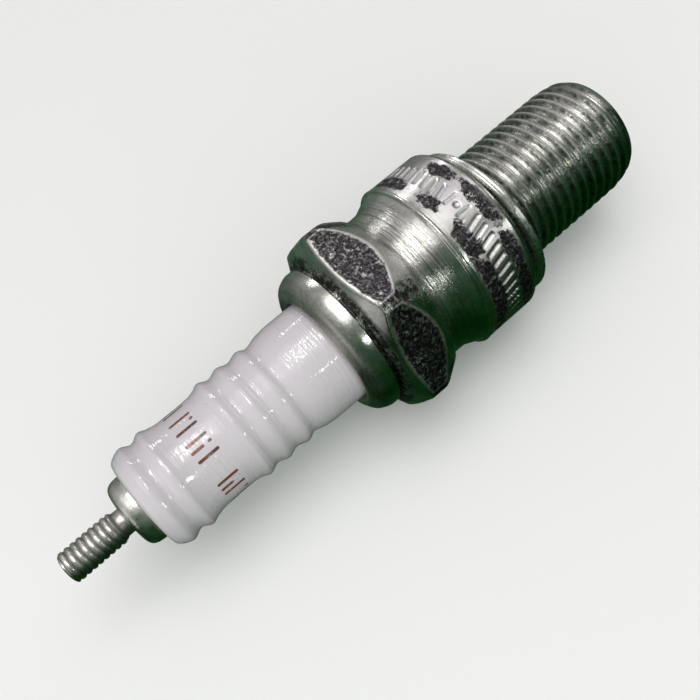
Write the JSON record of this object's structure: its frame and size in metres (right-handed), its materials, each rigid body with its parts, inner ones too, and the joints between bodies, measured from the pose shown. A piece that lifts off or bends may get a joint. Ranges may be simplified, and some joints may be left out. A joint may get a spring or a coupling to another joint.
{
  "type": "spark plug",
  "caption": "Resistor spark plug: ribbed white porcelain, plated steel shell with hexagon and knurled flange, captive gasket, metric thread, bare threaded terminal.",
  "frame": {"origin": "centre of the gasket's outer face, on the plug's axis", "axes": "+X along the axis towards the firing end, +Z normal to one flat of the hexagon; the plug lies on the opposite flat"},
  "size_m": [0.0766, 0.0234, 0.0208],
  "materials": {
    "plated_shell_steel": "bright zinc plate, forged and turned, with dull dark patches",
    "gasket_steel": "plated sheet steel, satin",
    "porcelain": "white glaze, glossy",
    "terminal_steel": "nickel plate, satin",
    "electrode_nickel": "nickel alloy, drawn",
    "copper": "copper, hidden inside the electrode",
    "seal_glass": "fired conductive glass, matte",
    "resistor_mass": "fired carbon and glass, matte",
    "packing_steel": "soft steel wire and sheet, dull",
    "talc": "packed powder, matte"
  },
  "bodies": {
    "plug": {"shell": "plated_shell_steel", "insulator": "porcelain", "terminal_stud": "terminal_steel", "ground_electrode": "electrode_nickel", "center_electrode": "electrode_nickel", "copper_core": "copper", "upper_glass_seal": "seal_glass", "resistor": "resistor_mass", "lower_glass_seal": "seal_glass", "inner_washer": "packing_steel", "lower_packing_ring": "packing_steel", "talc_seal": "talc", "upper_packing_ring": "packing_steel"},
    "gasket_ring": {"gasket": "gasket_steel"}
  },
  "joints": [
    {"name": "gasket_spin", "type": "hinge", "parent": "plug", "child": "gasket_ring", "pos_m": [-0.00065, 0, 0], "axis": [1, 0, 0], "continuous": true}
  ]
}
